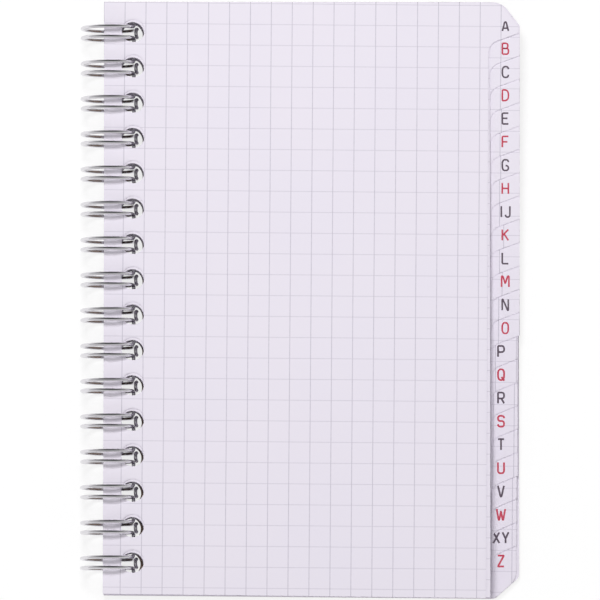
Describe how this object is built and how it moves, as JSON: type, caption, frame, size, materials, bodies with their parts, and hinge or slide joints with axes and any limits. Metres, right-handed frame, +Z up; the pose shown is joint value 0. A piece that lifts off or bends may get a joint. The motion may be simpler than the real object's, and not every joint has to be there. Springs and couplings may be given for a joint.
{
  "type": "indexed notebook",
  "caption": "Pocket index notebook of squared paper with step-cut letter tabs, bound by a twin-loop wire through round holes, lying open with its front cover turned under.",
  "frame": {"origin": "centre of the bounding box at its underside, on the surface that the notebook lies on", "axes": "+Y up the page towards the first tab, +X from the wire towards the tabs, +Z up out of the first leaf"},
  "size_m": [0.1052, 0.1424, 0.0139],
  "materials": {
    "plated_wire": "bright plated steel",
    "squared_paper": "matte writing paper with a 5 mm printed square grid",
    "greyboard": "matte grey-brown board",
    "white_card": "smooth pale card"
  },
  "bodies": {
    "bound_block": {"twin_loop_wire": "plated_wire", "page_block": "squared_paper", "back_cover": "greyboard"},
    "turned_cover": {"front_cover": "white_card"}
  },
  "joints": [
    {"name": "front_cover_turn", "type": "hinge", "parent": "bound_block", "child": "turned_cover", "pos_m": [-0.0456, 0, 0.00699], "axis": [0, 1, 0], "range_deg": [0, 190]}
  ]
}
